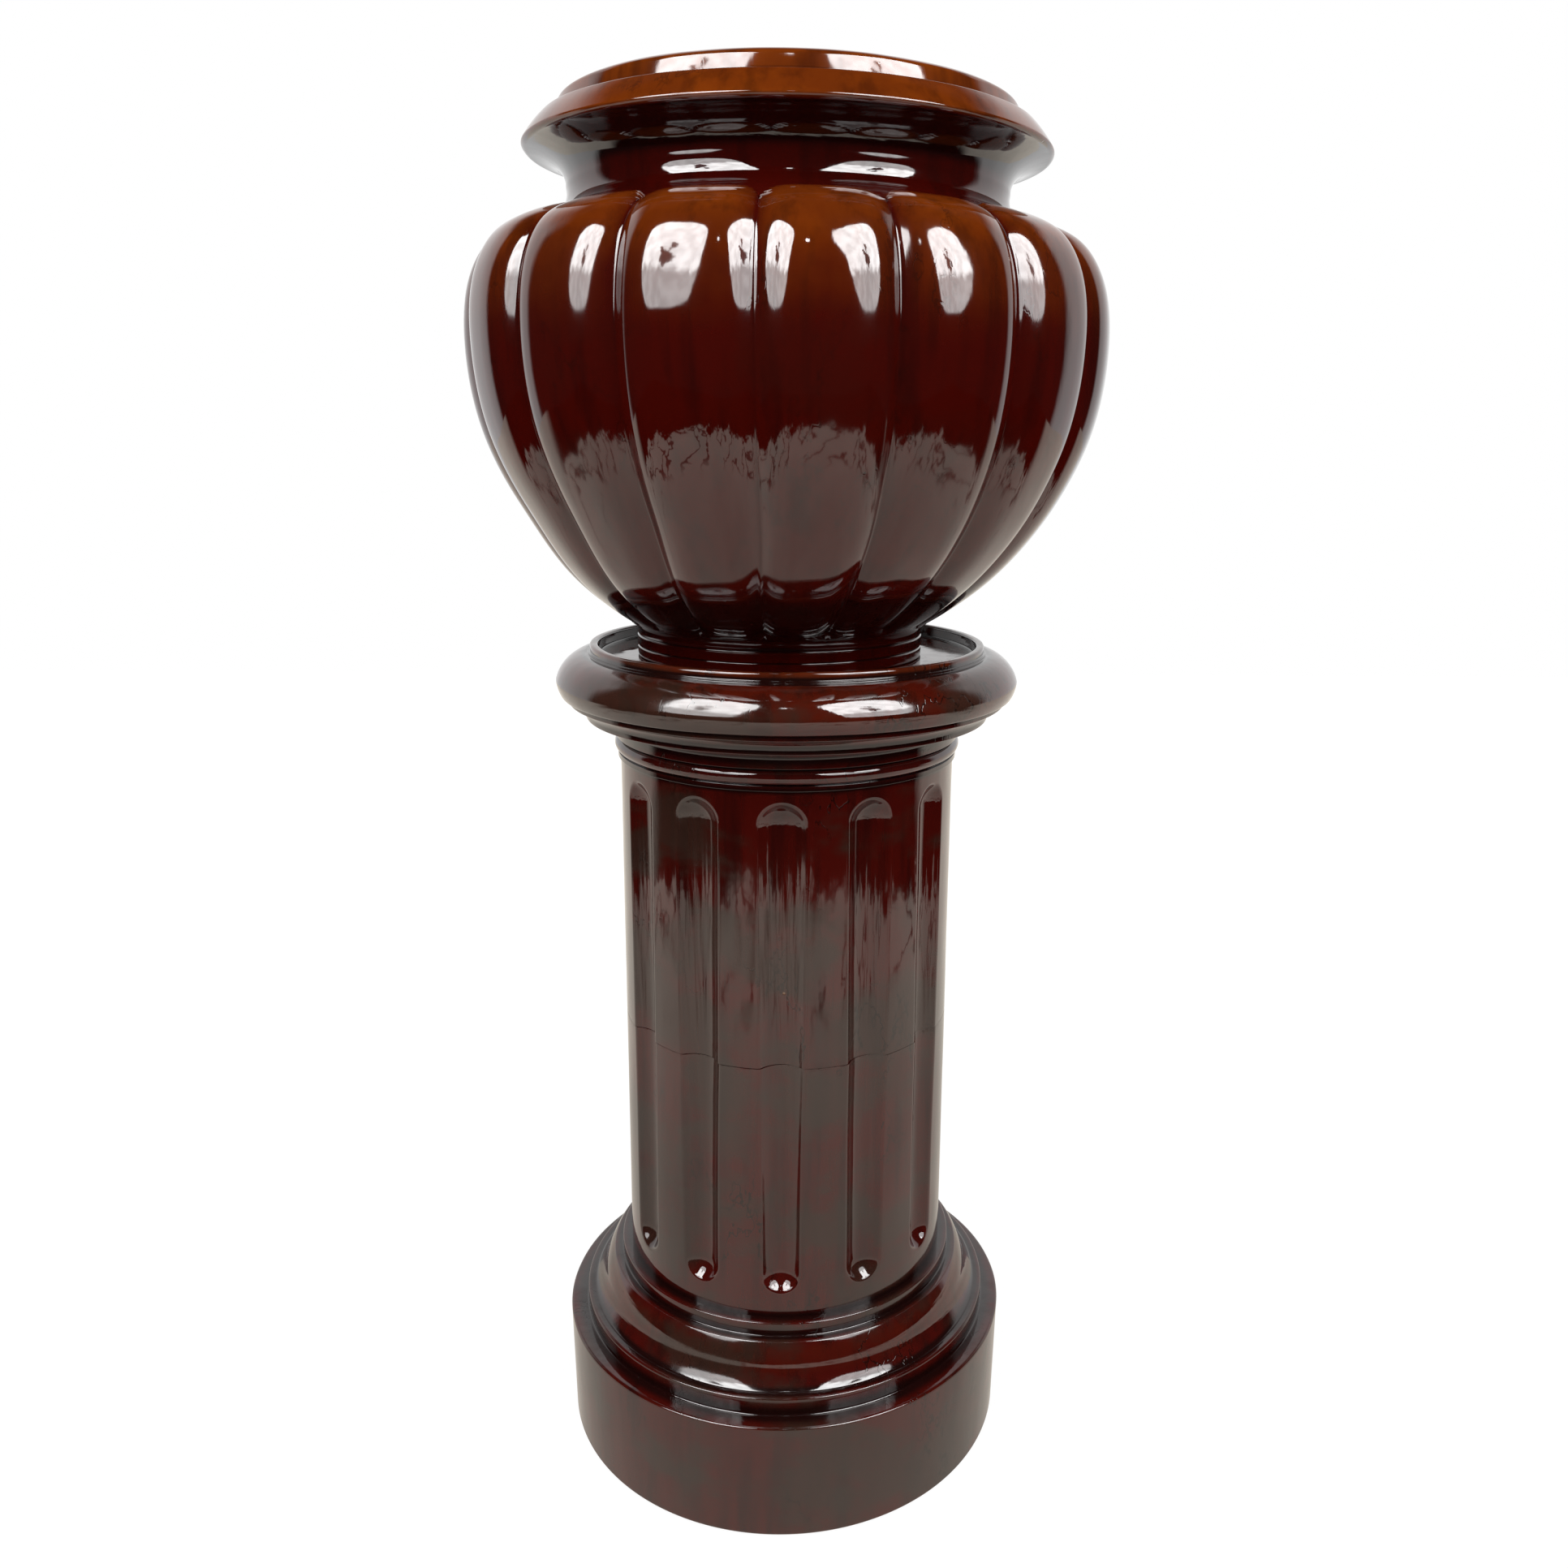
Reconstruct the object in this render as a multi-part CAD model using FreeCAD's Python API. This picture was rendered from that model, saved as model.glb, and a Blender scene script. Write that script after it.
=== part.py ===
import FreeCAD, Part
import math
import os

os.makedirs("parts", exist_ok=True)

# plinth and base mouldings of the stand, from the floor up
plinthFootRadius = 177.0
plinthRadius = 179.0
plinthHeight = 93.5
plinthFootBevel = 2.0
arris = 1.2
baseFilletRadius = 165.0
baseFilletHeight = 13.5
ogeeFootRadius = 158.5
ogeeWaistRadius = 148.0
ogeeTopRadius = 142.0
ogeeHollowHeight = 14.0
ogeeHollowSwell = 3.4
ogeeRoundHeight = 16.5
ogeeRoundSwell = 2.6
shaftFilletRadius = 135.5
shaftFilletHeight = 10.5

# fluted shaft, with the seam where its two halves were joined before firing
shaftRadius = 128.0
shaftHeight = 407.5
fluteCount = 12
fluteFootWidth = 28.5
fluteTopWidth = 34.5
fluteDepth = 9.0
fluteTurn = -1.2
fluteBottomMargin = 21.0
fluteTopMargin = 9.5
seamRise = 201.0
seamDepth = 0.6

# neck mouldings and cap of the stand
neckFilletRadius = 130.0
neckFilletHeight = 4.5
astragalRootRadius = 128.5
astragalSwell = 3.8
astragalHeight = 11.5
neckBandRadius = 131.0
neckBandHeight = 7.5
lowerHollowHeight = 7.5
lowerHollowSwell = 3.0
capFilletRadius = 153.0
capFilletHeight = 4.0
upperHollowHeight = 8.0
upperHollowSwell = 2.6
torusFilletRadius = 165.5
torusFilletHeight = 5.0
torusFootRadius = 170.5
torusRadius = 174.5
torusGirthRise = 11.5
torusFootSwell = 0.8
torusHeight = 31.0
torusTopRadius = 153.0
torusTopSwell = 4.4
rimStepWidth = 1.5
rimStepHeight = 1.5
rimHeight = 5.6
rimWidth = 6.5
rimRound = 2.0

# seat of the bowl in the cap
seatDepth = 9.6
seatClearance = 35.0

# hollow inside of the stand
plinthWall = 12.0
shaftWall = 17.0
capPlate = 12.0
capWall = 18.0
insideSlopeHeight = 70.0
insideCapHeight = 42.0

# bowl
footRadius = 107.5
footHeight = 26.0
footFlare = 5.0
footFlareHeight = 8.0
footFlareSwell = 1.6
footRingWidth = 12.0
footRecess = 10.0
bowlFloor = 14.0
bowlWall = 8.5
lobeCount = 16
lobeTurn = 5.95
lobeHalfAngle = 42.0
lobeSections = 15
# the crest of a lobe, as rises above the foot's bottom and radii
crestStations = [
    (22.0, 105.0),
    (32.0, 122.0),
    (58.0, 155.0),
    (98.0, 187.0),
    (158.0, 218.0),
    (218.0, 229.0),
    (264.0, 224.0),
    (289.0, 209.5),
    (298.5, 194.0),
    (303.5, 172.0),
]
shoulderRadius = 194.5
shoulderRise = 291.5
shoulderSwell = 2.0
neckFootRadius = 160.0
neckFootRise = 309.5
neckRadius = 156.5
neckRise = 322.0
neckTopRadius = 159.0
neckTopRise = 334.0
neckSwell = 0.8
soffitRadius = 182.5
soffitRise = 349.0
soffitSwell = 3.0
lipRadius = 185.5
lipEdgeHeight = 3.0
lipEdgeSwell = 0.7
lipTopRadius = 171.5
lipTopRise = 368.5
lipTopSwell = 1.2
collarFootRadius = 169.5
collarStepHeight = 1.0
collarTopRadius = 151.5
collarSwell = 2.7
bowlHeight = 384.5
mouthWall = 11.5
mouthRound = 3.0

# worked out from the sizes above
up = FreeCAD.Vector(0, 0, 1)
origin = FreeCAD.Vector(0, 0, 0)
arcRise = math.sqrt(0.5) - 0.5
shaftFoot = plinthHeight + baseFilletHeight + ogeeHollowHeight + ogeeRoundHeight + shaftFilletHeight
shaftTop = shaftFoot + shaftHeight
seamHeight = shaftFoot + seamRise
torusFoot = (
    shaftTop + neckFilletHeight + astragalHeight + neckBandHeight
    + lowerHollowHeight + capFilletHeight + upperHollowHeight + torusFilletHeight
)
standHeight = torusFoot + torusHeight + rimStepHeight + rimHeight
seatHeight = standHeight - seatDepth
seatRadius = footRadius + seatClearance
rimRadius = seatRadius + rimWidth
lobeSpan = 2 * math.pi / lobeCount
lobeArcRise = math.sin(lobeSpan / 2) * math.tan(math.radians(lobeHalfAngle) / 2)
grooveShare = 1 / (math.cos(lobeSpan / 2) + lobeArcRise)
frontAngle = -90.0


class Outline:
    """A closed half section in the XZ plane, walked with the clay on its left."""

    def __init__(self, radius, height):
        self.start = FreeCAD.Vector(radius, 0, height)
        self.at = self.start
        self.edges = []

    def line(self, radius, height):
        there = FreeCAD.Vector(radius, 0, height)
        self.edges.append(Part.makeLine(self.at, there))
        self.at = there

    def curve(self, radius, height, hollow):
        """An arc that rises from its chord into the clay, or out of it when negative."""
        there = FreeCAD.Vector(radius, 0, height)
        chord = there - self.at
        inward = FreeCAD.Vector(-chord.z, 0, chord.x).normalize()
        middle = (self.at + there) * 0.5 + inward * hollow
        self.edges.append(Part.Arc(self.at, middle, there).toShape())
        self.at = there

    def corner(self, radius, height, leg):
        """A rounded corner whose chord falls back by the same leg both ways."""
        self.curve(radius, height, -leg * arcRise * math.sqrt(2))

    def band(self, radius, height):
        """A plain upright fillet with its top edge softened."""
        foot = self.at.z
        self.line(radius, foot)
        self.line(radius, foot + height - arris)
        self.corner(radius - arris, foot + height, arris)

    def spline(self, points):
        crest = Part.BSplineCurve()
        crest.interpolate([self.at] + [FreeCAD.Vector(radius, 0, height) for radius, height in points])
        self.edges.append(crest.toShape())
        self.at = FreeCAD.Vector(points[-1][0], 0, points[-1][1])

    def solid(self):
        self.line(self.start.x, self.start.z)
        return Part.Face(Part.Wire(self.edges)).revolve(origin, up, 360)


def walkPlinth(outline):
    outline.line(plinthFootRadius - plinthFootBevel, 0)
    outline.line(plinthFootRadius, plinthFootBevel)
    outline.line(plinthRadius, plinthHeight - arris)
    outline.corner(plinthRadius - arris, plinthHeight, arris)


def walkBase(outline):
    outline.band(baseFilletRadius, baseFilletHeight)
    waistHeight = outline.at.z + ogeeHollowHeight
    outline.line(ogeeFootRadius, outline.at.z)
    outline.curve(ogeeWaistRadius, waistHeight, ogeeHollowSwell)
    outline.curve(ogeeTopRadius, waistHeight + ogeeRoundHeight, -ogeeRoundSwell)
    outline.band(shaftFilletRadius, shaftFilletHeight)
    outline.line(shaftRadius, shaftFoot)


def walkNeck(outline):
    outline.line(shaftRadius, shaftTop)
    outline.line(neckFilletRadius, shaftTop)
    outline.line(neckFilletRadius, shaftTop + neckFilletHeight)
    outline.line(astragalRootRadius, outline.at.z)
    outline.curve(astragalRootRadius, outline.at.z + astragalHeight, -astragalSwell)
    outline.line(neckBandRadius, outline.at.z)
    outline.line(neckBandRadius, outline.at.z + neckBandHeight)


def walkCap(outline):
    outline.curve(capFilletRadius, outline.at.z + lowerHollowHeight, lowerHollowSwell)
    outline.line(capFilletRadius, outline.at.z + capFilletHeight)
    outline.curve(torusFilletRadius, outline.at.z + upperHollowHeight, upperHollowSwell)
    outline.line(torusFilletRadius, torusFoot)
    outline.line(torusFootRadius, torusFoot)
    outline.curve(torusRadius, torusFoot + torusGirthRise, -torusFootSwell)
    outline.curve(torusTopRadius, torusFoot + torusHeight, -torusTopSwell)
    outline.line(rimRadius + rimStepWidth, outline.at.z)
    outline.line(outline.at.x, outline.at.z + rimStepHeight)
    outline.line(rimRadius, outline.at.z)
    outline.line(rimRadius, standHeight - rimRound)
    outline.corner(rimRadius - rimRound, standHeight, rimRound)
    outline.line(seatRadius + rimRound, standHeight)
    outline.corner(seatRadius, standHeight - rimRound, rimRound)
    outline.line(seatRadius, seatHeight)
    outline.line(0, seatHeight)


def walkStandInside(outline):
    ceiling = seatHeight - capPlate
    capInside = torusRadius - capWall
    shaftInside = shaftRadius - shaftWall
    outline.line(0, ceiling)
    outline.line(capInside - capPlate / 2, ceiling)
    outline.line(capInside, ceiling - capPlate / 2)
    outline.line(capInside, torusFoot)
    outline.line(shaftInside, ceiling - insideCapHeight)
    outline.line(shaftInside, shaftFoot)
    outline.line(plinthFootRadius - plinthWall, shaftFoot - insideSlopeHeight)


def fluteRadius(width):
    """The radius of the arc across a flute of this width."""
    return ((width / 2) ** 2 + fluteDepth ** 2) / (2 * fluteDepth)


def fluteCutter():
    """A tapered, round-ended rod whose inner side stays parallel to the shaft's axis."""
    lowRadius = fluteRadius(fluteFootWidth)
    highRadius = fluteRadius(fluteTopWidth)
    rootRadius = shaftRadius - fluteDepth
    low = FreeCAD.Vector(rootRadius + lowRadius, 0, shaftFoot + fluteBottomMargin + fluteFootWidth / 2)
    high = FreeCAD.Vector(rootRadius + highRadius, 0, shaftTop - fluteTopMargin - fluteTopWidth / 2)
    along = (high - low).normalize()
    lean = math.asin(along.x)
    outer = FreeCAD.Vector(math.cos(2 * lean), 0, -math.sin(2 * lean))
    lowShoulder = (outer - along).normalize()
    highShoulder = (outer + along).normalize()
    lowEnd = Part.Arc(low - along * lowRadius, low + lowShoulder * lowRadius, low + outer * lowRadius)
    side = Part.makeLine(low + outer * lowRadius, high + outer * highRadius)
    highEnd = Part.Arc(high + outer * highRadius, high + highShoulder * highRadius, high + along * highRadius)
    middle = Part.makeLine(high + along * highRadius, low - along * lowRadius)
    half = Part.Face(Part.Wire([lowEnd.toShape(), side, highEnd.toShape(), middle]))
    return half.revolve(low, along, 360)


def around(shape, count, turn):
    """Copies of a shape all round the axis, the first one turned from the front."""
    copies = []
    for index in range(count):
        copy = shape.copy()
        copy.rotate(origin, up, frontAngle + turn + 360.0 * index / count)
        copies.append(copy)
    return copies


def seamCutter():
    outline = Outline(shaftRadius + seamDepth, seamHeight - 2 * seamDepth)
    outline.line(shaftRadius + seamDepth, seamHeight + 2 * seamDepth)
    outline.line(shaftRadius - seamDepth, seamHeight)
    return outline.solid()


def makeStand():
    outline = Outline(plinthFootRadius - plinthWall, 0)
    walkPlinth(outline)
    walkBase(outline)
    walkNeck(outline)
    walkCap(outline)
    walkStandInside(outline)
    stand = outline.solid()
    return stand.cut(around(fluteCutter(), fluteCount, fluteTurn) + [seamCutter()])


def splitAtSeam(stand):
    reach = 2 * plinthRadius
    corner = FreeCAD.Vector(-reach, -reach, 0)
    lowerSpace = Part.makeBox(2 * reach, 2 * reach, seamHeight, corner)
    lower = stand.common(lowerSpace)
    upper = stand.cut(lowerSpace)
    return lower, upper


def lobedWire(crestRadius, height):
    grooveRadius = crestRadius * grooveShare

    def onCircle(radius, step):
        angle = math.radians(frontAngle + lobeTurn) + step * lobeSpan
        return FreeCAD.Vector(radius * math.cos(angle), radius * math.sin(angle), height)

    arcs = []
    for lobe in range(lobeCount):
        arc = Part.Arc(
            onCircle(grooveRadius, lobe - 0.5), onCircle(crestRadius, lobe), onCircle(grooveRadius, lobe + 0.5)
        )
        arcs.append(arc.toShape())
    return Part.Wire(arcs)


def makeLobes():
    crest = Part.BSplineCurve()
    crest.interpolate([FreeCAD.Vector(radius, 0, seatHeight + rise) for rise, radius in crestStations])
    wires = []
    for step in range(lobeSections + 1):
        share = step / lobeSections
        point = crest.value(crest.FirstParameter + share * (crest.LastParameter - crest.FirstParameter))
        wires.append(lobedWire(point.x, point.z))
    return Part.makeLoft(wires, True, False)


def makeCore():
    """Foot, shoulder, neck and lip, joined by a stem that stays inside the lobes."""
    stem = footRadius - footRingWidth
    outline = Outline(0, seatHeight)
    outline.line(footRadius, seatHeight)
    outline.line(footRadius, seatHeight + footHeight - footFlareHeight)
    outline.curve(footRadius + footFlare, seatHeight + footHeight, footFlareSwell)
    outline.line(stem, seatHeight + footHeight + footFlareHeight)
    outline.line(stem, seatHeight + shoulderRise - bowlWall)
    outline.line(shoulderRadius, seatHeight + shoulderRise - bowlWall)
    outline.line(shoulderRadius, seatHeight + shoulderRise)
    outline.curve(neckFootRadius, seatHeight + neckFootRise, -shoulderSwell)
    outline.curve(neckRadius, seatHeight + neckRise, neckSwell)
    outline.curve(neckTopRadius, seatHeight + neckTopRise, neckSwell)
    outline.curve(soffitRadius, seatHeight + soffitRise, soffitSwell)
    outline.curve(lipRadius, seatHeight + soffitRise + lipEdgeHeight, -lipEdgeSwell)
    outline.curve(lipTopRadius, seatHeight + lipTopRise, -lipTopSwell)
    outline.line(collarFootRadius, seatHeight + lipTopRise + collarStepHeight)
    outline.curve(collarTopRadius, seatHeight + bowlHeight - mouthRound, collarSwell)
    outline.corner(collarTopRadius - mouthRound, seatHeight + bowlHeight, mouthRound)
    outline.line(0, seatHeight + bowlHeight)
    return outline.solid()


def makeBowlInside():
    """The space inside the bowl, walked the same way round as the clay."""
    floor = seatHeight + footRecess + bowlFloor
    mouth = collarTopRadius - mouthWall
    top = seatHeight + bowlHeight
    inside = [(radius * grooveShare - bowlWall, seatHeight + rise) for rise, radius in crestStations]
    belly = inside[2:7]
    shoulder = (inside[7][0], inside[7][1] - bowlWall)
    outline = Outline(0, floor)
    outline.line(inside[1][0] - bowlWall, floor)
    outline.spline(belly + [shoulder])
    outline.line(neckRadius - mouthWall, seatHeight + neckFootRise - bowlWall / 2)
    outline.line(neckRadius - mouthWall, seatHeight + soffitRise)
    outline.line(mouth, seatHeight + lipTopRise)
    outline.line(mouth, top - mouthRound)
    outline.curve(mouth + mouthRound, top, mouthRound * arcRise * math.sqrt(2))
    outline.line(mouth + mouthRound, top + mouthRound)
    outline.line(0, top + mouthRound)
    return outline.solid()


def makeBowl():
    body = makeLobes().fuse(makeCore())
    recess = Part.makeCylinder(footRadius - footRingWidth, footRecess, FreeCAD.Vector(0, 0, seatHeight))
    return body.cut([makeBowlInside(), recess])


def save(shape, node):
    solids = shape.Solids
    print(node, "solids", len(solids), "valid", shape.isValid(), "volume", round(shape.Volume))
    solids[0].exportStep("parts/" + node + ".step")


lowerStand, upperStand = splitAtSeam(makeStand())
save(lowerStand, "stand_lower")
save(upperStand, "stand_upper")
save(makeBowl(), "bowl")
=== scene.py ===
import math
import bpy
import numpy as np
from mathutils import Matrix, Vector, noise


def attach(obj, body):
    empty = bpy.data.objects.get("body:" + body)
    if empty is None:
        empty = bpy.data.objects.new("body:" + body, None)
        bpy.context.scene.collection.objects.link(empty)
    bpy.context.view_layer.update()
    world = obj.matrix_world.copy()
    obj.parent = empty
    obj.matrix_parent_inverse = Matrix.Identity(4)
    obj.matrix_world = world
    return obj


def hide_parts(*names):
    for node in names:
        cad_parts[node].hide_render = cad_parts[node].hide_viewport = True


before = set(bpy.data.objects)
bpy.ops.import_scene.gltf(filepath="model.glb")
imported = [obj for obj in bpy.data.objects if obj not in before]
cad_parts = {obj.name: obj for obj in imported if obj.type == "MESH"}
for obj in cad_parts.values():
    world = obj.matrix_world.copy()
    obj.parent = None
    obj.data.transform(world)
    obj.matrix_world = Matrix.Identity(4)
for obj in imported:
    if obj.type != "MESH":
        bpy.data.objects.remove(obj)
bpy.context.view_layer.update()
mm = 0.001


def deselectAll():
    if bpy.context.object and bpy.context.object.mode == "EDIT":
        bpy.ops.object.mode_set(mode="OBJECT")
    bpy.ops.object.select_all(action="DESELECT")


def editAll(piece):
    deselectAll()
    piece.select_set(True)
    bpy.context.view_layer.objects.active = piece
    bpy.ops.object.mode_set(mode="EDIT")
    bpy.ops.mesh.select_all(action="SELECT")


def readPoints(piece, what="co"):
    points = np.zeros(len(piece.data.vertices) * 3)
    piece.data.vertices.foreach_get(what, points)
    return points.reshape(-1, 3)


def writePoints(piece, points):
    piece.data.vertices.foreach_set("co", points.reshape(-1))
    piece.data.update()


def selectPoints(piece, chosen):
    editAll(piece)
    bpy.ops.mesh.select_mode(type="VERT")
    bpy.ops.mesh.select_all(action="DESELECT")
    bpy.ops.object.mode_set(mode="OBJECT")
    piece.data.vertices.foreach_set("select", chosen)
    bpy.ops.object.mode_set(mode="EDIT")
    bpy.ops.mesh.select_mode(type="VERT")


def joinPieces(first, others):
    deselectAll()
    for piece in others + [first]:
        piece.select_set(True)
    bpy.context.view_layer.objects.active = first
    bpy.ops.object.join()


def mergeDoubles(piece, distance):
    editAll(piece)
    bpy.ops.mesh.remove_doubles(threshold=distance)
    bpy.ops.object.mode_set(mode="OBJECT")


turning = {
    "arcStep": 1.6,  # mm between points along an arc
    "arcFewest": 5,
    "clear": 0.15,  # mm kept free on both sides of a softened corner
    "guard": 0.4,  # a point this far outside a softened corner keeps its shading tight
    "guardGap": 0.25,
    "smoothAngle": 42,
}


# a turned outline in mm: each step gives radius, height, how far its arc hollows into the clay,
# and how soft its end is
def outlinePoints(start, steps):
    line = [np.array(start, float)]
    soft = {}
    for radius, height, hollow, softness in steps:
        a = line[-1]
        b = np.array((radius, height), float)
        chord = b - a
        length = np.hypot(*chord)
        if hollow:
            inward = np.array((-chord[1], chord[0])) / length
            half = 2 * math.atan(2 * hollow / length)
            bend = length / (2 * math.sin(half))
            count = max(turning["arcFewest"], int(length / turning["arcStep"]))
            for step in range(1, count):
                turn = (2 * step / count - 1) * half
                along = length / 2 + bend * math.sin(turn)
                out = bend * (math.cos(turn) - math.cos(half))
                line.append(a + chord / length * along + inward * out)
        line.append(b)
        if softness:
            soft[len(line) - 1] = softness
    line = np.array(line)
    reach = np.concatenate([[0], np.cumsum(np.hypot(*np.diff(line, axis=0).T))])

    def at(distance):
        return np.array([np.interp(distance, reach, line[:, 0]), np.interp(distance, reach, line[:, 1])])

    clear, guard = turning["clear"], turning["guard"]
    keep = [(reach[i], line[i]) for i in range(len(line)) if i not in soft]
    for corner, softness in soft.items():
        low, high = reach[corner] - softness, reach[corner] + softness
        keep = [(d, p) for d, p in keep if not low - clear < d < high + clear]
        a, p, b = at(low), line[corner], at(high)
        for t in (0, 0.25, 0.5, 0.75, 1):
            keep.append((low + t * 2 * softness, (1 - t) ** 2 * a + 2 * t * (1 - t) * p + t * t * b))
        for d in (low - guard, high + guard):
            alone = min(abs(d - other) for other, _ in keep) > turning["guardGap"]
            if 0 < d < reach[-1] and alone:
                keep.append((d, at(d)))
    keep.sort(key=lambda item: item[0])
    return [p for _, p in keep]


def turnOutline(name, points, columns):
    deselectAll()
    bpy.ops.mesh.primitive_plane_add(size=0.002, location=(0, 0, 0))
    piece = bpy.context.object
    piece.name = piece.data.name = name
    bpy.ops.object.mode_set(mode="EDIT")
    bpy.ops.mesh.merge(type="CENTER")
    bpy.ops.transform.translate(value=(points[0][0] * mm, 0, points[0][1] * mm))
    for here, there in zip(points, points[1:]):
        move = ((there[0] - here[0]) * mm, 0, (there[1] - here[1]) * mm)
        bpy.ops.mesh.extrude_vertices_move(TRANSFORM_OT_translate={"value": move})
    bpy.ops.mesh.select_all(action="SELECT")
    bpy.ops.mesh.spin(
        steps=columns, angle=2 * math.pi, center=(0, 0, 0), axis=(0, 0, 1), use_auto_merge=True
    )
    bpy.ops.mesh.select_all(action="SELECT")
    bpy.ops.mesh.remove_doubles(threshold=0.00001)
    bpy.ops.object.mode_set(mode="OBJECT")
    return piece


# how deep and how wide the hand work's unevenness is, in metres, and where its pattern starts
handWork = {
    "stand": (0.0004, 0.045, 3.0),
    "bowl": (0.0006, 0.05, 9.0),
}


# hand work leaves the clay a little uneven, always inside its drawn surface
def unevenClay(piece, ware):
    depth, size, seed = handWork[ware]
    points = readPoints(piece)
    normals = readPoints(piece, "normal")
    shift = np.array([
        noise.noise(Vector((p[0] / size + seed, p[1] / size, p[2] / (1.6 * size)))) for p in points
    ])
    # none near the axis, where the pole would pucker, and none on the floor
    radius = np.hypot(points[:, 0], points[:, 1])
    fade = np.clip(radius / 0.05, 0, 1) * np.clip(points[:, 2] / 0.01, 0, 1)
    inward = depth * (np.clip(shift, -1, 1) - 1) / 2 * fade
    writePoints(piece, points + normals * inward[:, None])


marking = {
    "fullBend": 550,  # a bend of this many per metre counts as a full hollow or a full edge
    "smoothings": 2,
    "seamBand": 3,  # mm above and below the seam that take no marks
    "poolAndShadeLeast": 0.06,
    "poolAndShadeMost": 0.95,
}


# where glaze gathers in hollows and inner corners, and where it runs thinner over edges; some listed rings
# are painted shade, and the bowl's thinness mark carries painted light from above
def markGlaze(piece, thinAndLit, poolsAndShade):
    mesh = piece.data
    points = readPoints(piece)
    normals = readPoints(piece, "normal")
    edges = np.zeros(len(mesh.edges) * 2, int)
    mesh.edges.foreach_get("vertices", edges)
    a, b = edges.reshape(-1, 2).T
    along = points[b] - points[a]
    square = np.maximum((along ** 2).sum(1), 1e-9)
    bend = np.zeros(len(points))
    count = np.zeros(len(points))
    np.add.at(bend, a, 2 * (along * normals[a]).sum(1) / square)
    np.add.at(bend, b, -2 * (along * normals[b]).sum(1) / square)
    np.add.at(count, a, 1)
    np.add.at(count, b, 1)
    bend /= np.maximum(count, 1) * marking["fullBend"]
    bend = np.clip(bend, -1, 1)
    for _ in range(marking["smoothings"]):
        total = bend.copy()
        weight = np.ones(len(points))
        np.add.at(total, a, bend[b])
        np.add.at(total, b, bend[a])
        np.add.at(weight, a, 1)
        np.add.at(weight, b, 1)
        bend = total / weight
    radius = np.hypot(points[:, 0], points[:, 1]) / mm
    height = points[:, 2] / mm
    bend = np.where(np.abs(height - fluting["seam"]) < marking["seamBand"], 0, bend)
    # each listed ring darkens like gathered glaze; on the bowl's soffit, above its foot and where the
    # bowl's foot stands it is painted shade
    for r, z, reach in poolsAndShade:
        near = np.exp(-((radius - r) ** 2 + (height - z) ** 2) / reach ** 2)
        bend = np.where(near > marking["poolAndShadeLeast"], np.maximum(bend, marking["poolAndShadeMost"] * near), bend)
    # the hollow mark carries the rings' painted shade, and on the bowl the thinness mark carries painted
    # light from above
    for name, values in (("hollow", bend), ("thinAndLit", thinAndLit(radius, height))):
        mark = mesh.attributes.new(name, "FLOAT", "POINT")
        mark.data.foreach_set("value", values.astype(np.float32))


# 0 below low, 1 above high, and smooth between them
def ease(value, low, high):
    t = np.clip((value - low) / (high - low), 0, 1)
    return t * t * (3 - 2 * t)


def finishPiece(piece, body, nodes, material, thinAndLit, poolsAndShade):
    editAll(piece)
    bpy.ops.mesh.normals_make_consistent(inside=False)
    bpy.ops.object.mode_set(mode="OBJECT")
    bpy.ops.object.shade_smooth_by_angle(angle=math.radians(turning["smoothAngle"]))
    markGlaze(piece, thinAndLit, poolsAndShade)
    piece.data.materials.clear()
    piece.data.materials.append(material)
    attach(piece, body)
    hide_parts(*nodes)
    print("piece", piece.name, len(piece.data.polygons), "faces")


# the shaft and its flutes, in mm unless a note says otherwise
fluting = {
    "radius": 128.0,
    "foot": 148.0,
    "top": 555.5,
    "seam": 349.0,
    "lowEnd": 169.0,
    "highEnd": 546.0,
    "footWidth": 28.5,
    "topWidth": 34.5,
    "depth": 9.0,
    "lip": 4.0,
    "columns": 20,
    "rows": 64,
    # how far each flute is off its even place, in degrees, from the front round to the viewer's right
    "nudges": [-1.6, -2.5, -4.0, -2.2, -0.8, -1.6, -0.9, -1.5, -0.4, 0.8, 2.4, 0.1],
    # the kink at the seam in degrees, and in metres how fast it dies away below and where it ends
    "kink": 0.4,
    "kinkReach": 0.035,
    "kinkEnd": (0.1, 0.17),
    # the seam is a shallow V: its height on each side in metres, and its narrowing
    "seamLip": 0.0013,
    "seamInset": 0.9988,
    "merge": 0.00002,
    "seamMerge": 0.00003,
    # shares of the way from the flute's edge out to its panel's frame, then steps over lip and hollow
    "landSteps": [1, 0.8, 0.6, 0.42, 0.26, 0.12, 0.03, 0],
    "lipSteps": 5,
    "hollowSteps": 9,
}


# across one flute: how far out from its middle line and how deep, from the land's edge to the middle
def fluteSection(width):
    deep, lip = fluting["depth"], fluting["lip"]
    bend = ((width / 2) ** 2 + deep ** 2) / (2 * deep)
    edge = math.sqrt((bend + lip) ** 2 - (lip + bend - deep) ** 2)
    steepest = math.asin(edge / (bend + lip))
    section = [(edge, 0)]
    for step in range(1, fluting["lipSteps"] + 1):
        turn = steepest * step / fluting["lipSteps"]
        section.append((edge - lip * math.sin(turn), lip * (1 - math.cos(turn))))
    for step in range(1, fluting["hollowSteps"] + 1):
        turn = steepest * (1 - step / fluting["hollowSteps"])
        section.append((bend * math.sin(turn), bend * math.cos(turn) - (bend - deep)))
    return np.array(section)


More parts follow.
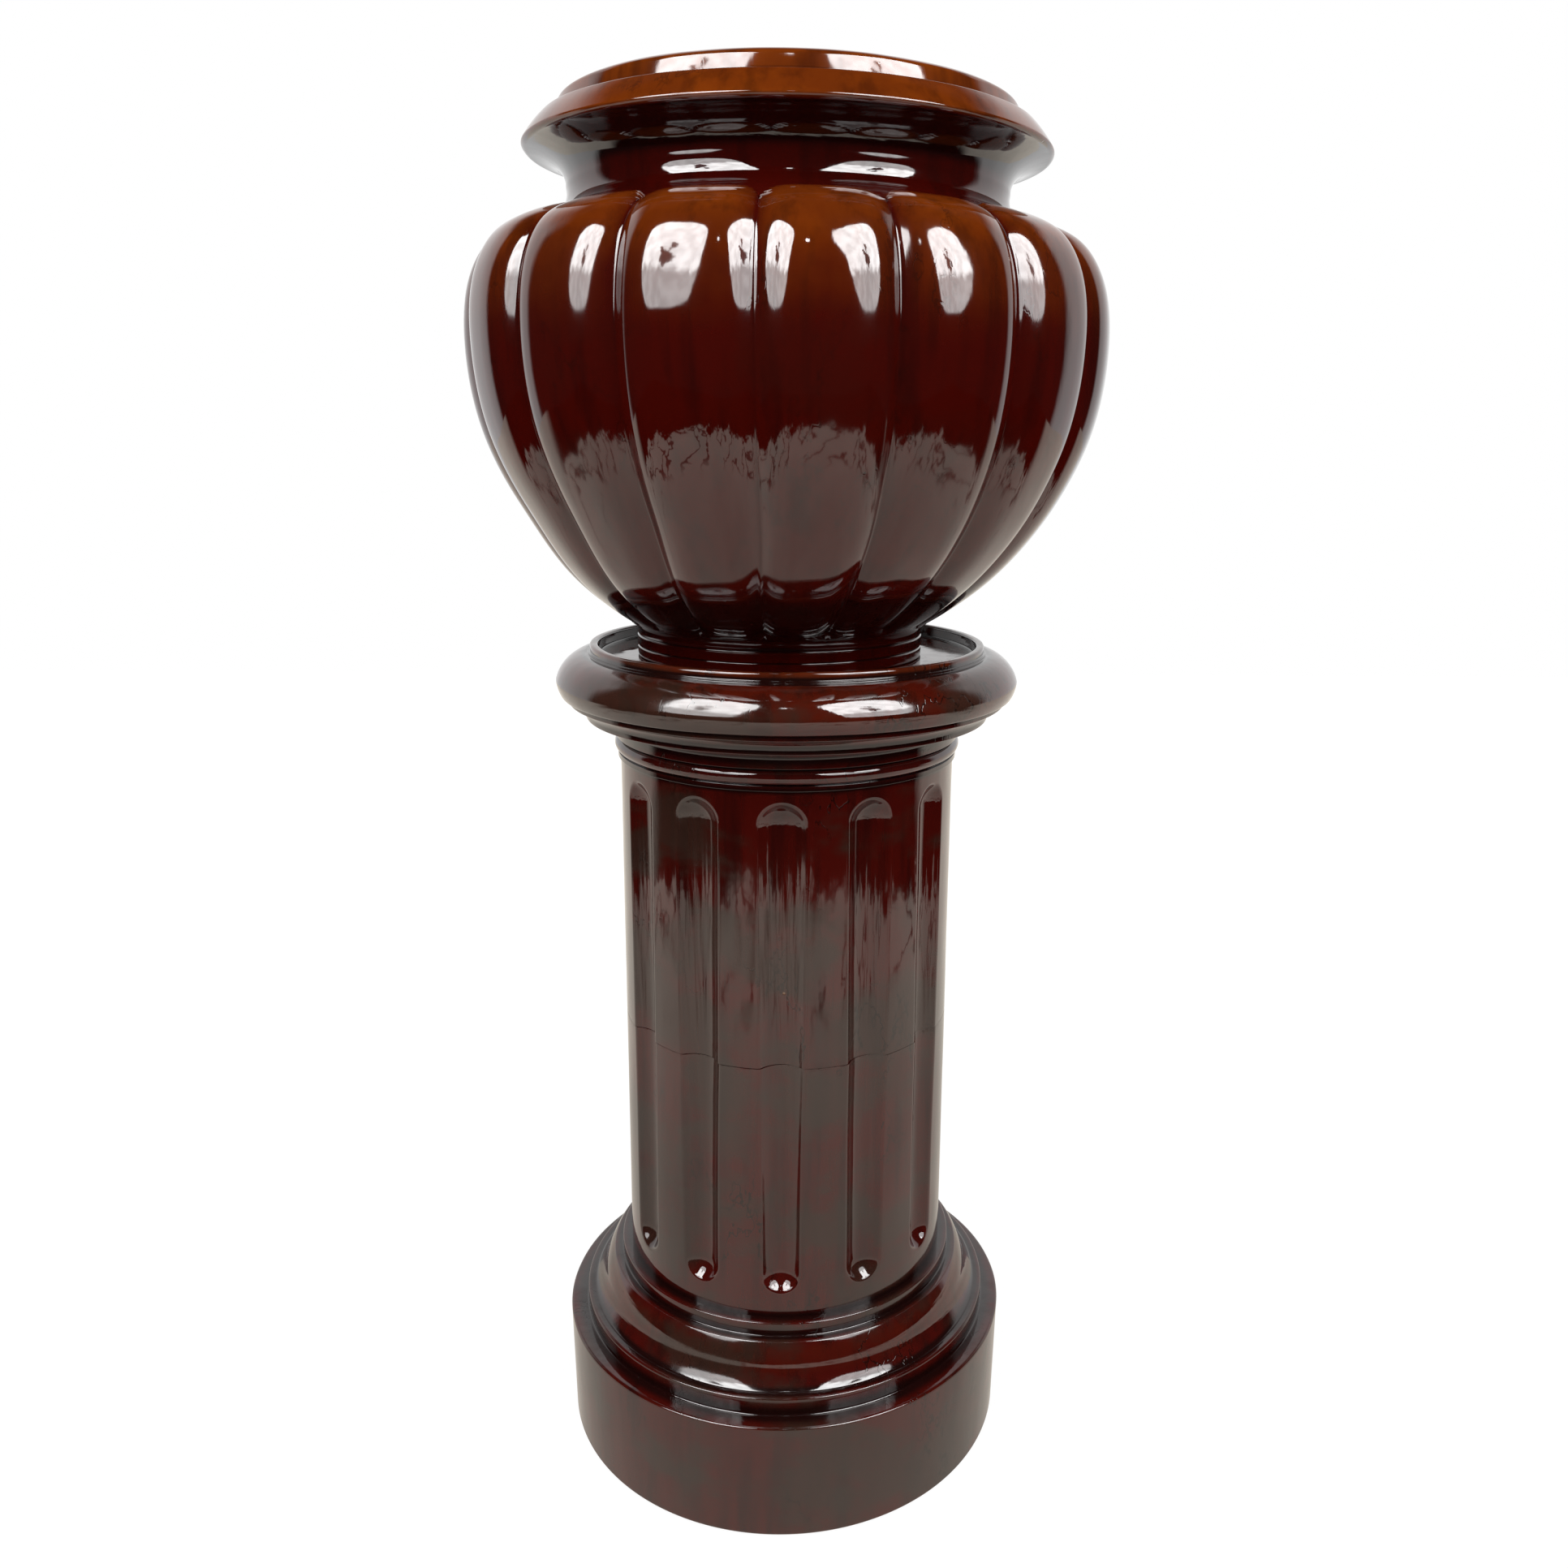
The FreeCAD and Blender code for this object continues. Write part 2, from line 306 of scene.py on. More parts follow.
# a panel's points go round its flute: round foot, right side, round head and left side
def shapeFlute(piece, places, index):
    f = fluting
    across, rows = f["columns"], f["rows"]
    low = f["lowEnd"] + f["footWidth"] / 2
    high = f["highEnd"] - f["topWidth"] / 2
    lean = math.asin((f["topWidth"] - f["footWidth"]) / 2 / (high - low))
    lowSection, highSection = fluteSection(f["footWidth"]), fluteSection(f["topWidth"])
    middle = math.radians(f["nudges"][index]) * f["radius"]
    half = math.radians(180 / len(f["nudges"])) * f["radius"]
    loops = len(f["landSteps"]) - 1
    shaped = np.zeros((len(places), 3))
    for number, (i, j) in enumerate(places):
        i = i % (2 * across + 2 * rows)
        ring = max(0, j - loops)
        lowOut, lowDeep = lowSection[ring]
        highOut, highDeep = highSection[ring]
        if i < across:
            t = i / across
            angle = math.pi + lean + t * (math.pi - 2 * lean)
            x, z, deep = lowOut * math.cos(angle), low + lowOut * math.sin(angle), lowDeep
            frameX, frameZ = half * (2 * t - 1), f["foot"]
        elif i < across + rows:
            t = (i - across) / rows
            out = lowOut + (highOut - lowOut) * t
            x, deep = out * math.cos(lean), lowDeep + (highDeep - lowDeep) * t
            z = low + (high - low) * t - out * math.sin(lean)
            frameX, frameZ = half, f["foot"] + (f["top"] - f["foot"]) * t
        elif i < 2 * across + rows:
            t = (i - across - rows) / across
            angle = -lean + t * (math.pi + 2 * lean)
            x, z, deep = highOut * math.cos(angle), high + highOut * math.sin(angle), highDeep
            frameX, frameZ = half * (1 - 2 * t), f["top"]
        else:
            t = (i - 2 * across - rows) / rows
            out = highOut + (lowOut - highOut) * t
            x, deep = -out * math.cos(lean), highDeep + (lowDeep - highDeep) * t
            z = high + (low - high) * t - out * math.sin(lean)
            frameX, frameZ = -half, f["top"] + (f["foot"] - f["top"]) * t
        x += middle
        if j < loops:
            share = f["landSteps"][j]
            x, z, deep = x + (frameX - x) * share, z + (frameZ - z) * share, 0
        angle = math.radians(-90 + 360 * index / len(f["nudges"])) + x / f["radius"]
        radius = f["radius"] - deep
        shaped[number] = (radius * math.cos(angle), radius * math.sin(angle), z)
    writePoints(piece, shaped * mm)


def makeFluteBand():
    around = 2 * fluting["columns"] + 2 * fluting["rows"]
    loops = len(fluting["landSteps"]) - 1 + fluting["lipSteps"] + fluting["hollowSteps"]
    deselectAll()
    bpy.ops.mesh.primitive_grid_add(x_subdivisions=around, y_subdivisions=loops, size=2, location=(0, 0, 0))
    first = bpy.context.object
    first.name = "fluteBand"
    grid = readPoints(first)
    places = np.stack([
        np.round((grid[:, 0] + 1) / 2 * around), np.round((grid[:, 1] + 1) / 2 * loops)
    ], 1).astype(int)
    copies = []
    for index in range(1, len(fluting["nudges"])):
        copy = first.copy()
        copy.data = first.data.copy()
        bpy.context.scene.collection.objects.link(copy)
        shapeFlute(copy, places, index)
        copies.append(copy)
    shapeFlute(first, places, 0)
    joinPieces(first, copies)
    mergeDoubles(first, fluting["merge"])
    print("flutes cut", len(first.data.polygons), "faces")
    return first


# the lower half was set a touch round from the upper one, so the flutes kink at the seam
def kinkFlutes(half):
    points = readPoints(half)
    below = fluting["seam"] * mm - points[:, 2]
    dying = np.exp(-below / fluting["kinkReach"]) * (1 - ease(below, *fluting["kinkEnd"]))
    turn = math.radians(fluting["kink"]) * dying
    x = points[:, 0] * np.cos(turn) - points[:, 1] * np.sin(turn)
    y = points[:, 0] * np.sin(turn) + points[:, 1] * np.cos(turn)
    writePoints(half, np.stack([x, y, points[:, 2]], 1))


def selectSeam(piece):
    offSeam = np.abs(readPoints(piece)[:, 2] - fluting["seam"] * mm)
    selectPoints(piece, offSeam < 1e-6)


def cutBandAtSeam(band, keepUpper):
    half = band.copy()
    half.data = band.data.copy()
    bpy.context.scene.collection.objects.link(half)
    seam = fluting["seam"] * mm
    side = 1 if keepUpper else -1
    editAll(half)
    bpy.ops.mesh.bisect(plane_co=(0, 0, seam + side * fluting["seamLip"]), plane_no=(0, 0, 1))
    bpy.ops.mesh.select_all(action="SELECT")
    bpy.ops.mesh.bisect(
        plane_co=(0, 0, seam), plane_no=(0, 0, 1), clear_inner=keepUpper, clear_outer=not keepUpper
    )
    bpy.ops.object.mode_set(mode="OBJECT")
    selectSeam(half)
    bpy.ops.transform.resize(
        value=(fluting["seamInset"], fluting["seamInset"], 1), center_override=(0, 0, seam)
    )
    bpy.ops.object.mode_set(mode="OBJECT")
    if not keepUpper:
        kinkFlutes(half)
    return half


def closeSeamEnd(piece, band):
    joinPieces(piece, [band])
    mergeDoubles(piece, fluting["seamMerge"])
    selectSeam(piece)
    bpy.ops.mesh.bridge_edge_loops()
    bpy.ops.object.mode_set(mode="OBJECT")


# outlines of the two halves of the stand, from the seam in and round to the fluted band
lowerStand = {
    "start": (111, 349),
    "inside": [(111, 148, 0, 0), (165, 78, 0, 3), (165, 0, 0, 1)],
    "plinth": [(175, 0, 0, 0.7), (177, 2, 0, 0.9), (179, 93.5, 0, 2.2), (165, 93.5, 0, 1.3)],
    "base": [
        (165, 107, 0, 1.8),
        (158.5, 107, 0, 1.0),
        (149.6, 121, 1.2, 0),
        (142, 137.5, -0.9, 0.9),
        (135.5, 137.5, 0, 0.9),
        (135.5, 148, 0, 1.5),
        (128, 148, 0, 0),
    ],
}

upperStand = {
    "start": (128, 555.5),
    "neck": [
        (130, 555.5, 0, 0.6),
        (130, 560, 0, 0.7),
        (128.5, 560, 0, 0.5),
        (128.5, 571.5, -3.8, 0.6),
        (131, 571.5, 0, 0.5),
        (131, 579, 0, 0.6),
    ],
    "cap": [
        (153, 586.5, 3.0, 0.8),
        (153, 590.5, 0, 0.9),
        (165.5, 598.5, 2.6, 0.8),
        (165.5, 603.5, 0, 0.5),
        (170.5, 603.5, 0, 1.0),
        (174.5, 615, -0.8, 0),
        (153, 634.5, -4.4, 0.6),
        (150.5, 634.5, 0, 0.5),
        (150.5, 636, 0, 0.6),
        (149, 636, 0, 0.5),
    ],
    "rim": [
        (149, 641.6, 0, 2.4),
        (142.5, 641.6, 0, 2.2),
        (142.5, 632, 0, 1.6),
        (100, 632, 0, 0),
        (50, 632, 0, 0),
        (0, 632, 0, 0),
    ],
    "insideStart": (0, 620),
    "inside": [
        (150.5, 620, 0, 0),
        (156.5, 614, 0, 1),
        (156.5, 603.5, 0, 1),
        (111, 578, 0, 3),
        (111, 349, 0, 0),
    ],
}

columnsRound = len(fluting["nudges"]) * fluting["columns"]

# rings where the glaze gathers: radius, height and how far it spreads; the ring at 107.5 mm on the recess
# floor, where the bowl's foot stands, is painted shade
standPoolsAndShade = [
    (165, 93.5, 7), (158.5, 107, 4), (135.5, 137.5, 4), (128, 148, 5), (129, 555.5, 2.5),
    (128.5, 560, 2), (128.5, 571.5, 2), (131, 579, 3), (153, 590.5, 3), (165.5, 603.5, 3),
    (153, 634.5, 2.5), (149, 636, 2.5), (142.5, 632, 2), (107.5, 632, 3),
]


# the glaze is thinner on the cap's roll, its rim, the base and the plinth
def thinOnStand(radius, height):
    cap = ease(height, 604, 616) * 0.2 + ease(height, 634, 637) * 0.35
    foot = 0.15 * ease(height, 108, 122) * (1 - ease(height, 132, 140))
    plinth = 0.1 * (1 - ease(height, 88, 93))
    return cap + foot + plinth


def makeStand():
    band = makeFluteBand()
    steps = lowerStand["inside"] + lowerStand["plinth"] + lowerStand["base"]
    lower = turnOutline("standLower", outlinePoints(lowerStand["start"], steps), columnsRound)
    closeSeamEnd(lower, cutBandAtSeam(band, False))
    steps = upperStand["neck"] + upperStand["cap"] + upperStand["rim"]
    upper = turnOutline("standUpper", outlinePoints(upperStand["start"], steps), columnsRound)
    steps = upperStand["inside"]
    inside = turnOutline("inside", outlinePoints(upperStand["insideStart"], steps), columnsRound)
    joinPieces(upper, [inside])
    closeSeamEnd(upper, cutBandAtSeam(band, True))
    bpy.data.objects.remove(band)
    print("stand turned, fluted and closed at the seam")
    return lower, upper


bowlShape = {
    "seat": 632.0,
    "lobes": 16,
    "turn": 5.95,
    "columns": 18,
    # the crest of a lobe, as heights above the seat and radii
    "crest": [
        (22, 105), (32, 122), (58, 155), (98, 187), (158, 218),
        (218, 228.6), (264, 224), (289, 209.5), (298.3, 195), (302.9, 182.5), (305.0, 173), (305.8, 166),
    ],
    "crestPoints": 600,
    # each lobe ends on the shoulder in a round head, from the groove's top in to this radius
    "headTop": 170.0,
    "headFoot": 194.5,
    "headRound": 2.4,
    "headSlope": 2.2,
    "headEase": 1.0,
    # across a lobe: the angle its side turns down to, and how soft the groove's bottom is at this girth
    "lobeSideAngle": 57.0,
    "grooveSoftness": 1.3,
    "girth": 217,
    # the lobes are shaped along rays from this radius and height, spaced so (from, to, step) in degrees
    "heart": (100.0, 830.0),
    "rays": [(-85.4, -78, 0.6), (-78, 32, 1.9), (32, 47.5, 0.7)],
    "lastRays": (47.5, 0.1, 0.32),
    "creaseSoftness": 0.3,
    # the plain form under the lobes: the radii of the foot's flare and of the wall below the shoulder
    "flareRadius": 112.5,
    "wallRadius": 194.5,
    # the foot sits a little to the left of the body above it, from the first height down
    "footShift": -6.0,
    "footShiftEnds": (655, 745),
    "underside": [(95.5, 642, 0, 1.5), (95.5, 632, 0, 1.5), (107.5, 632, 0, 2.0)],
    "foot": [
        (107.5, 639.2, 0, 0), (106.6, 640.1, 0, 0.3), (107.5, 641, 0, 0),
        (107.5, 647.4, 0, 0), (106.6, 648.3, 0, 0.3), (107.5, 649.2, 0, 0),
        (107.5, 650, 0, 0), (112.3, 657.6, 1.6, 0),
    ],
    "shoulderStart": (194.5, 923.5),
    "shoulder": [(162, 940.0, 0.6, 0)],
    "neck": [
        (161.2, 941.2, 0, 0.4), (156.3, 957.5, 2.2, 0), (164.5, 974.5, 2.4, 0), (182.5, 981, 1.2, 0.8),
    ],
    "lip": [(185.6, 984.2, -0.5, 0.9), (172.5, 1000.6, -0.7, 1.3), (162.5, 1001.2, 0, 0.8)],
    "collar": [(160.2, 1012.2, -0.15, 1.4), (152, 1016.2, -0.6, 1.2), (140, 1016.4, 0, 3.4)],
    "well": [(140, 1000.5, 0, 2), (145, 981, 0, 4), (145, 938, 0, 6)],
    "belly": [(190, 912.5), (204, 896), (208.4, 850), (198, 790), (168.6, 730), (138.3, 690), (98.6, 656)],
    "bellyPoints": 22,
    "bottom": [(60, 656), (0, 656)],
}


# a smooth curve through the given points
def smoothThrough(points, count):
    points = np.array(points, float)
    span = np.hypot(*np.diff(points, axis=0).T) ** 0.7
    knots = np.concatenate([[0], np.cumsum(span)])
    size = len(points)
    matrix = np.zeros((size, size))
    right = np.zeros((size, 2))
    matrix[0, 0] = matrix[-1, -1] = 1
    for i in range(1, size - 1):
        matrix[i, i - 1], matrix[i, i + 1] = span[i - 1], span[i]
        matrix[i, i] = 2 * (span[i - 1] + span[i])
        slope = (points[i + 1] - points[i]) / span[i] - (points[i] - points[i - 1]) / span[i - 1]
        right[i] = 6 * slope
    bends = np.linalg.solve(matrix, right)
    curve = []
    for t in np.linspace(0, knots[-1], count):
        i = min(np.searchsorted(knots, t, "right") - 1, size - 2)
        a, b = knots[i + 1] - t, t - knots[i]
        h = span[i]
        curve.append(
            (bends[i] * a ** 3 + bends[i + 1] * b ** 3) / (6 * h)
            + (points[i] / h - bends[i] * h / 6) * a
            + (points[i + 1] / h - bends[i + 1] * h / 6) * b
        )
    return np.array(curve)


# a curve as angles seen from the heart and distances from it
def rayTable(curve):
    away = curve - np.array(bowlShape["heart"])
    return np.degrees(np.arctan2(away[:, 1], away[:, 0])), np.hypot(away[:, 0], away[:, 1])


# the whole outline of the bowl, out along the lobes' crest and back down inside
def bowlOutline(rays, crestRays):
    b = bowlShape
    outer = outlinePoints((0, 642), b["underside"] + b["foot"])
    for angle in rays:
        reach = np.interp(angle, *crestRays)
        turn = math.radians(angle)
        outer.append(np.array(b["heart"]) + reach * np.array((math.cos(turn), math.sin(turn))))
    outer += outlinePoints(b["shoulder"][-1][:2], b["neck"] + b["lip"] + b["collar"] + b["well"])
    outer += list(smoothThrough(b["belly"], b["bellyPoints"]))
    outer += [np.array(place, float) for place in b["bottom"]]
    return outer


# across a lobe: flat in the middle and turning down ever faster towards the groove
def lobeSection(span):
    across = np.linspace(0, 1, 200)
    steep = math.radians(bowlShape["lobeSideAngle"])
    fall = steep * across ** 3 / 3 + steep ** 3 * across ** 7 / 21
    half = math.tan(span / 2) / (1 + fall[-1] * math.tan(span / 2))
    return np.arctan2(half * across, 1 - half * fall), np.hypot(half * across, 1 - half * fall)


# how far out one line of points down a lobe lies, at a share of the way from its middle to its groove
def lobeReaches(crest, value, ray, section, span):
    b = bowlShape
    offGroove = (0.5 - value) * span * b["girth"]
    softened = math.hypot(offGroove, b["grooveSoftness"])
    scale = float(np.interp(max(0.0, span / 2 - softened / b["girth"]), *section))
    angles, reaches = rayTable(crest * np.array((scale, 1)))
    reach = np.interp(ray, angles, reaches, right=50)
    arch = math.sqrt(max(0.0, 1 - (2 * value) ** b["headRound"]))
    headEnd = b["headFoot"] - (b["headFoot"] - b["headTop"]) * arch
    past = headEnd - b["heart"][0] - reach * np.cos(np.radians(ray))
    past = np.where(ray > 40, np.maximum(past, 0), 0)
    return reach - b["headSlope"] * past ** 2 / (past + b["headEase"])


def makeBowl():
    b = bowlShape
    heart = np.array(b["heart"])
    crest = smoothThrough([(radius, b["seat"] + rise) for rise, radius in b["crest"]], b["crestPoints"])
    crestRays = rayTable(crest)
    endRadius, endHeight = b["shoulder"][-1][:2]
    lastAngle = math.degrees(math.atan2(endHeight - heart[1], endRadius - heart[0]))
    start, short, step = b["lastRays"]
    parts = b["rays"] + [(start, lastAngle - short, step)]
    rays = np.concatenate([np.arange(*part) for part in parts])
    columns = b["lobes"] * b["columns"]
    bowl = turnOutline("bowlBody", bowlOutline(rays, crestRays), columns)
    points = readPoints(bowl) / mm
    radius = np.hypot(points[:, 0], points[:, 1])
    # the columns are bunched towards the grooves
    place = np.round(np.arctan2(points[:, 1], points[:, 0]) / (2 * math.pi) * columns).astype(int) % columns
    share = (place % b["columns"]) / b["columns"] - 0.5
    bunched = 0.5 * np.sin(math.pi * share)
    span = 2 * math.pi / b["lobes"]
    angle = math.radians(-90 + b["turn"]) + span * (place // b["columns"] + bunched)
    away = np.stack([radius - heart[0], points[:, 2] - heart[1]], 1)
    ray = np.degrees(np.arctan2(away[:, 1], away[:, 0]))
    reach = np.hypot(away[:, 0], away[:, 1])
    onLobes = (
        (np.abs(reach - np.interp(ray, *crestRays)) < 0.4)
        & (ray > rays[0] - 0.1) & (ray < rays[-1] + 0.1)
    )
    # the plain turned form that the lobes stand on: the foot's flare and the shoulder
    shoulderAngle, shoulderReach = rayTable(np.array(outlinePoints(b["shoulderStart"], b["shoulder"])))
    flare = np.abs(b["flareRadius"] - heart[0]) / np.maximum(np.cos(np.radians(ray)), 0.02)
    wall = np.abs(b["wallRadius"] - heart[0]) / np.maximum(np.cos(np.radians(ray)), 0.05)
    onShoulder = np.interp(ray, shoulderAngle, shoulderReach)
    core = np.where(ray > shoulderAngle[0], onShoulder, np.where(ray > 0, wall, flare))
    section = lobeSection(span)
    newReach = reach.copy()
    for value in np.unique(np.round(np.abs(bunched), 6)):
        chosen = onLobes & (np.abs(np.abs(bunched) - value) < 1e-5)
        lobeReach = lobeReaches(crest, value, ray[chosen], section, span)
        gap = lobeReach - core[chosen]
        newReach[chosen] = (lobeReach + core[chosen] + np.sqrt(gap ** 2 + b["creaseSoftness"] ** 2)) / 2
    radius = np.where(onLobes, heart[0] + newReach * np.cos(np.radians(ray)), radius)
    height = np.where(onLobes, heart[1] + newReach * np.sin(np.radians(ray)), points[:, 2])
    aside = b["footShift"] * (1 - ease(height, *b["footShiftEnds"]))
    writePoints(bowl, np.stack([radius * np.cos(angle) + aside, radius * np.sin(angle), height], 1) * mm)
    print("lobes pressed", int(onLobes.sum()), "points")
    # 1 on top of the lobes and 0 in the grooves and on the plain form
    proud = np.where(onLobes, newReach - core, 0)
    crown = (1 - np.abs(2 * bunched) ** 6) * ease(proud, 0.2, 2.5)
    return bowl, crown


# rings where the glaze gathers, as for the stand; the wide ring above the foot and the four under the lip
# are painted shade, not gathered glaze
bowlPoolsAndShade = [
    (107.5, 650, 2), (126, 678, 34), (160, 968, 7), (165, 976, 7), (172, 978.5, 7), (178, 980, 5),
    (163, 1001.2, 2.2),
]


# the glaze is thinner on the lip and the collar; the lobes' round tops are lighter and more amber, partly
# as thinner glaze and partly as painted light from above; a touch lighter higher up, and thick inside the
# well
def thinAndLitOnBowl(radius, height, crown):
    headsThinAndLit = crown * (ease(height, 835, 900) * 0.3 + ease(height, 885, 933) * 0.6)
    lip = ease(height, 981.5, 984) * 0.85 + ease(height, 1001, 1004) * 0.15
    return np.maximum(headsThinAndLit, lip) * ease(radius, 148, 151) + 0.03 * ease(height, 700, 900)


def addMath(nodes, links, operation, a, b=0.0, clamp=False):
    node = nodes.new("ShaderNodeMath")
    node.operation = operation
    node.use_clamp = clamp
    for socket, value in zip(node.inputs, (a, b)):
        if isinstance(value, (int, float)):
            socket.default_value = value
        else:
            links.new(value, socket)
    return node.outputs[0]


def addRange(nodes, links, value, low, high, outLow=0.0, outHigh=1.0):
    node = nodes.new("ShaderNodeMapRange")
    node.interpolation_type = "SMOOTHSTEP"
    links.new(value, node.inputs["Value"])
    for name, number in (("From Min", low), ("From Max", high), ("To Min", outLow), ("To Max", outHigh)):
        node.inputs[name].default_value = number
    return node.outputs["Result"]


# cloudy noise over the given places
def addCloud(nodes, links, vector, scale, detail, rough=0.5):
    node = nodes.new("ShaderNodeTexNoise")
    links.new(vector, node.inputs["Vector"])
    for name, number in (("Scale", scale), ("Detail", detail), ("Roughness", rough)):
        node.inputs[name].default_value = number
    return node.outputs["Fac"]


def addSplit(nodes, links, vector):
    split = nodes.new("ShaderNodeSeparateXYZ")
    links.new(vector, split.inputs[0])
    return split.outputs


flaws = {
    "bubble": (0.34, 0.2, 0.12, 1),
    "pit": (0.006, 0.003, 0.002, 1),
    "bareClay": (0.36, 0.23, 0.15, 1),
}


# one glaze effect for both wares: colour, height and roughness that vary over the surface
def makeGlazeGroup():
    group = bpy.data.node_groups.new("treacleGlaze", "ShaderNodeTree")
    face = group.interface
    for name, kind in (
        ("Place", "NodeSocketVector"), ("HollowAndShade", "NodeSocketFloat"), ("ThinnessAndLight", "NodeSocketFloat"),
        ("Thick", "NodeSocketColor"), ("ThinAndLit", "NodeSocketColor"), ("PooledAndShade", "NodeSocketColor"),
        ("Smear", "NodeSocketColor"), ("Streaks", "NodeSocketFloat"), ("Smears", "NodeSocketFloat"),
        ("Veins", "NodeSocketFloat"), ("Ripple", "NodeSocketFloat"), ("Wear", "NodeSocketFloat"),
    ):
        face.new_socket(name=name, in_out="INPUT", socket_type=kind)
    for name, kind in (
        ("Colour", "NodeSocketColor"), ("Height", "NodeSocketFloat"), ("Roughness", "NodeSocketFloat"),
    ):
        face.new_socket(name=name, in_out="OUTPUT", socket_type=kind)
    nodes, links = group.nodes, group.links

    def calc(operation, a, b=0.0, clamp=False):
        return addMath(nodes, links, operation, a, b, clamp)

    def spread(value, low, high, outLow=0.0, outHigh=1.0):
        return addRange(nodes, links, value, low, high, outLow, outHigh)

    def cloud(vector, scale, detail, rough):
        return addCloud(nodes, links, vector, scale, detail, rough)

    def mixColour(share, a, b):
        node = nodes.new("ShaderNodeMix")
        node.data_type = "RGBA"
        links.new(share, node.inputs["Factor"])
        for socket, value in ((node.inputs[6], a), (node.inputs[7], b)):
            if isinstance(value, tuple):
                socket.default_value = value
            else:
                links.new(value, socket)
        return node.outputs[2]

    def stretched(vector, scale):
        node = nodes.new("ShaderNodeVectorMath")
        node.operation = "MULTIPLY"
        links.new(vector, node.inputs[0])
        node.inputs[1].default_value = scale
        return node.outputs[0]

    given = nodes.new("NodeGroupInput").outputs
    out = nodes.new("NodeGroupOutput").inputs
    place = given["Place"]
    runs = cloud(stretched(place, (1, 1, 0.1)), 60, 4, 0.6)
    patches = cloud(place, 9, 2, 0.5)
    mottle = cloud(place, 38, 3, 0.6)
    thinness = calc("ADD", given["ThinnessAndLight"], calc("MULTIPLY", calc("SUBTRACT", mottle, 0.5), 0.35))
    thinness = calc("ADD", thinness, calc("MULTIPLY", calc("SUBTRACT", runs, 0.5), 0.3))
    thinness = calc("MULTIPLY", thinness, spread(given["ThinnessAndLight"], 0.0, 0.25))
    edge = spread(given["HollowAndShade"], -0.3, -0.9)
    thinness = calc("ADD", thinness, calc("MULTIPLY", edge, 0.25), clamp=True)
    # on the bowl the amber mix also paints light from above on the lobe tops
    colour = mixColour(thinness, given["Thick"], given["ThinAndLit"])
    # darker runs down the sides and broad cloudy smears
    streak = calc("MULTIPLY", spread(runs, 0.44, 0.7), given["Streaks"])
    colour = mixColour(streak, colour, given["PooledAndShade"])
    broad = cloud(stretched(place, (1, 0.6, 1.4)), 11, 4, 0.62)
    smear = calc("MULTIPLY", spread(broad, 0.44, 0.6), given["Smears"])
    colour = mixColour(smear, colour, given["Smear"])
    # gathered glaze, and the painted shade from the listed rings, take the dark gathered colour
    poolAndShade = spread(given["HollowAndShade"], 0.12, 0.75)
    colour = mixColour(calc("MULTIPLY", poolAndShade, 0.93), colour, given["PooledAndShade"])
    # pale bubbles and dark pits in the glaze
    cells = nodes.new("ShaderNodeTexVoronoi")
    cells.feature = "F1"
    links.new(place, cells.inputs["Vector"])
    cells.inputs["Scale"].default_value = 30
    pick = nodes.new("ShaderNodeSeparateColor")
    links.new(cells.outputs["Color"], pick.inputs[0])
    dot = spread(cells.outputs["Distance"], 0.04, 0.02)
    pale = calc("MULTIPLY", dot, spread(pick.outputs[0], 0.9, 0.91))
    colour = mixColour(calc("MULTIPLY", pale, 0.55), colour, flaws["bubble"])
    dark = calc("MULTIPLY", dot, spread(pick.outputs[1], 0.9, 0.91))
    colour = mixColour(calc("MULTIPLY", dark, 0.8), colour, flaws["pit"])
    # fine veins that wander down the ware
    vein = cloud(stretched(place, (1, 1, 0.45)), 16, 5, 0.62)
    vein = calc("ABSOLUTE", calc("SUBTRACT", vein, 0.5))
    vein = calc("MULTIPLY", spread(vein, 0.007, 0.002), spread(patches, 0.5, 0.6))
    vein = calc("MULTIPLY", vein, given["Veins"])
    colour = mixColour(vein, colour, flaws["pit"])
    # glaze worn off the sharpest edges shows the pale body in chips
    chips = cloud(place, 130, 4, 0.65)
    chipped = calc("MULTIPLY", spread(given["HollowAndShade"], -0.45, -0.85), spread(chips, 0.58, 0.64))
    chipped = calc("MULTIPLY", chipped, given["Wear"])
    colour = mixColour(chipped, colour, flaws["bareClay"])
    links.new(colour, out["Colour"])
    # runs and orange peel of the glaze surface
    wide = cloud(stretched(place, (1, 1, 0.35)), 17, 2, 0.5)
    peel = cloud(stretched(place, (1, 1, 0.5)), 95, 2, 0.5)
    height = calc("ADD", wide, calc("MULTIPLY", peel, 0.09))
    height = calc("ADD", height, calc("MULTIPLY", runs, given["Ripple"]))
    height = calc("SUBTRACT", height, calc("MULTIPLY", calc("ADD", dark, pale), 0.25))
    height = calc("SUBTRACT", height, calc("MULTIPLY", vein, 0.05))
    links.new(height, out["Height"])
    rough = spread(patches, 0.3, 0.75, 0.03, 0.07)
    rough = calc("ADD", rough, calc("MULTIPLY", smear, 0.1))
    rough = calc("ADD", rough, calc("MULTIPLY", chipped, 0.4))
    links.new(rough, out["Roughness"])
    return group


